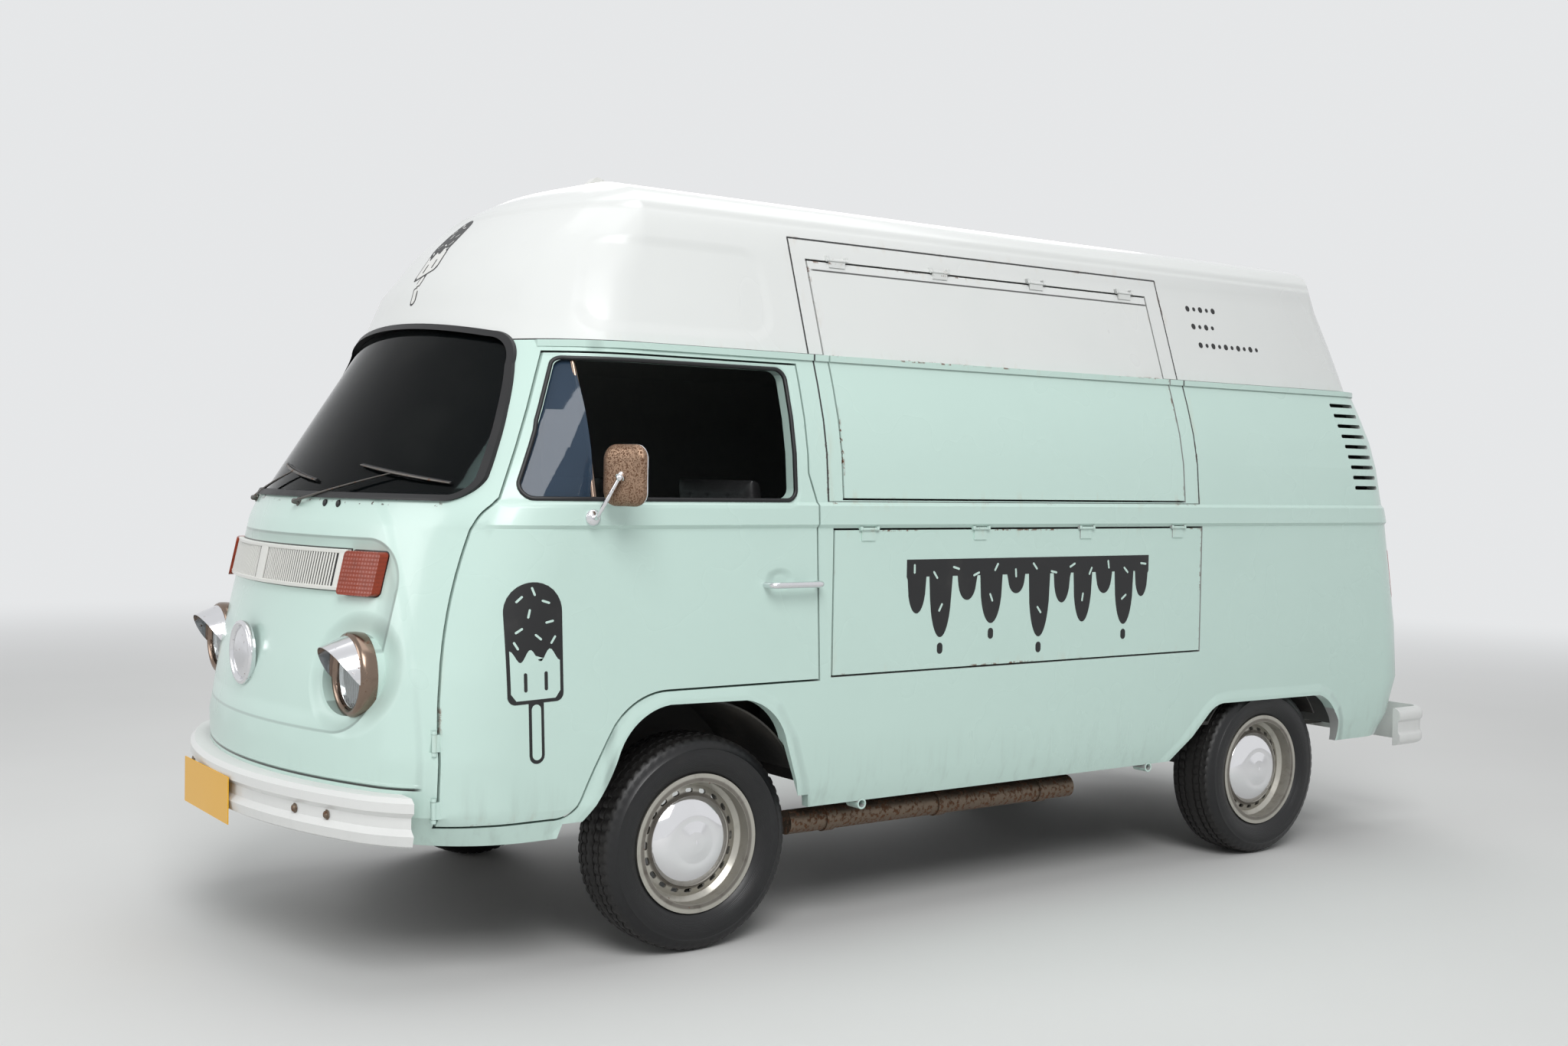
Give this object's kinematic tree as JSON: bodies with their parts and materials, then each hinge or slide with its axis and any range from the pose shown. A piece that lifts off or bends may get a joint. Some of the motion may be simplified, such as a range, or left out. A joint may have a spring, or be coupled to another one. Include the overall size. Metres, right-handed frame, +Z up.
{
  "type": "high-roof ice cream truck",
  "caption": "High-roof rear-engined serving van with side hatch, counter flap, cab doors, tailgate, engine lid and steered wheels.",
  "frame": {"origin": "on the ground at mid length and mid width", "axes": "+Z up, -Y to the front, +X to the vehicle's left (serving) side"},
  "size_m": [2.028, 4.505, 2.2674],
  "materials": {
    "amber": "amber lens",
    "bumper_white": "white painted steel, chipped",
    "cast_grey": "oily cast metal",
    "chrome": "chrome with a little rust",
    "dash_black": "black padded plastic",
    "exhaust_steel": "heat-browned steel",
    "fin_white": "white plastic",
    "grille_white": "white finned plastic",
    "lamp_glass": "fluted clear glass",
    "lamp_red": "red lens",
    "mint_paint": "semi-gloss pale green paint, worn at the seams",
    "mirror_bronze": "rusty brown shell on a bright arm",
    "plate_yellow": "blank yellow plate",
    "rim_cream": "silver-cream painted steel, chrome cap",
    "roof_white": "off-white moulded roof",
    "screen_glass": "clear glass",
    "seal_black": "black rubber",
    "seat_vinyl": "black vinyl",
    "tyre_black": "matt black rubber",
    "underbody": "black underseal"
  },
  "bodies": {
    "chassis": {"body_shell": "mint_paint", "cab_seats": "seat_vinyl", "chassis_frame": "underbody", "dashboard": "dash_black", "engine_block": "cast_grey", "exhaust": "exhaust_steel", "floor_pan": "underbody", "front_axle": "underbody", "front_bumper": "bumper_white", "front_grille": "grille_white", "front_indicators": "amber", "front_plate": "plate_yellow", "headlamp_lenses": "lamp_glass", "headlamp_rings": "chrome", "high_roof": "roof_white", "nose_disc": "chrome", "rear_axle": "cast_grey", "rear_bumper": "bumper_white", "rear_lamps": "lamp_red", "roof_fin": "fin_white", "seat_boxes": "underbody", "sill_pipe": "exhaust_steel", "steering_column": "dash_black", "windscreen": "screen_glass", "windscreen_seal": "seal_black", "wipers": "underbody"},
    "wheel_front_left": {"tyre_front_left": "tyre_black", "rim_front_left": "rim_cream"},
    "wheel_front_right": {"tyre_front_right": "tyre_black", "rim_front_right": "rim_cream"},
    "wheel_rear_left": {"tyre_rear_left": "tyre_black", "rim_rear_left": "rim_cream"},
    "wheel_rear_right": {"tyre_rear_right": "tyre_black", "rim_rear_right": "rim_cream"},
    "steer_left": {"knuckle_left": "cast_grey"},
    "steer_right": {"knuckle_right": "cast_grey"},
    "steering": {"steering_wheel": "dash_black"},
    "cab_door_left": {"door_left": "mint_paint", "door_glass_left": "screen_glass", "door_handle_left": "chrome", "mirror_left": "mirror_bronze"},
    "cab_door_right": {"door_right": "mint_paint", "door_glass_right": "screen_glass", "door_handle_right": "chrome", "mirror_right": "mirror_bronze"},
    "hatch": {"serving_hatch": "mint_paint"},
    "flap": {"counter_flap": "mint_paint"},
    "rear_door": {"tailgate": "mint_paint", "tailgate_glass": "screen_glass"},
    "rear_lid": {"engine_lid": "mint_paint"}
  },
  "joints": [
    {"name": "steering_turn", "type": "hinge", "parent": "chassis", "child": "steering", "pos_m": [-0.415, -1.59, 1.07], "axis": [0, 0.4534, 0.8913], "range_deg": [-560, 560]},
    {"name": "steer_left_turn", "type": "hinge", "parent": "chassis", "child": "steer_left", "pos_m": [0.64, -1.148, 0.304], "axis": [0, 0, 1], "range_deg": [-28, 28]},
    {"name": "steer_right_turn", "type": "hinge", "parent": "chassis", "child": "steer_right", "pos_m": [-0.64, -1.148, 0.304], "axis": [0, 0, 1], "range_deg": [-28, 28]},
    {"name": "spin_front_left", "type": "hinge", "parent": "steer_left", "child": "wheel_front_left", "pos_m": [0.6975, -1.148, 0.304], "axis": [1, 0, 0], "continuous": true},
    {"name": "spin_front_right", "type": "hinge", "parent": "steer_right", "child": "wheel_front_right", "pos_m": [-0.6975, -1.148, 0.304], "axis": [1, 0, 0], "continuous": true},
    {"name": "spin_rear_left", "type": "hinge", "parent": "chassis", "child": "wheel_rear_left", "pos_m": [0.7275, 1.252, 0.304], "axis": [1, 0, 0], "continuous": true},
    {"name": "spin_rear_right", "type": "hinge", "parent": "chassis", "child": "wheel_rear_right", "pos_m": [-0.7275, 1.252, 0.304], "axis": [1, 0, 0], "continuous": true},
    {"name": "door_left_swing", "type": "hinge", "parent": "chassis", "child": "cab_door_left", "pos_m": [0.788, -1.946, 0.9], "axis": [0, 0, -1], "range_deg": [0, 68]},
    {"name": "door_right_swing", "type": "hinge", "parent": "chassis", "child": "cab_door_right", "pos_m": [-0.788, -1.946, 0.9], "axis": [0, 0, 1], "range_deg": [0, 68]},
    {"name": "hatch_lift", "type": "hinge", "parent": "chassis", "child": "hatch", "pos_m": [0.65, 0.025, 1.987], "axis": [0, -1, 0], "range_deg": [0, 90]},
    {"name": "flap_lift", "type": "hinge", "parent": "chassis", "child": "flap", "pos_m": [0.856, 0.05, 1.184], "axis": [0, -1, 0], "range_deg": [0, 90]},
    {"name": "rear_door_lift", "type": "hinge", "parent": "chassis", "child": "rear_door", "pos_m": [0, 1.992, 1.604], "axis": [1, 0, 0], "range_deg": [0, 80]},
    {"name": "rear_lid_lift", "type": "hinge", "parent": "chassis", "child": "rear_lid", "pos_m": [0, 2.166, 0.845], "axis": [1, 0, 0], "range_deg": [0, 70]}
  ],
  "couplings": [
    {"joint": "steer_left_turn", "follows": "steering_turn", "ratio": 0.05},
    {"joint": "steer_right_turn", "follows": "steering_turn", "ratio": 0.05}
  ]
}
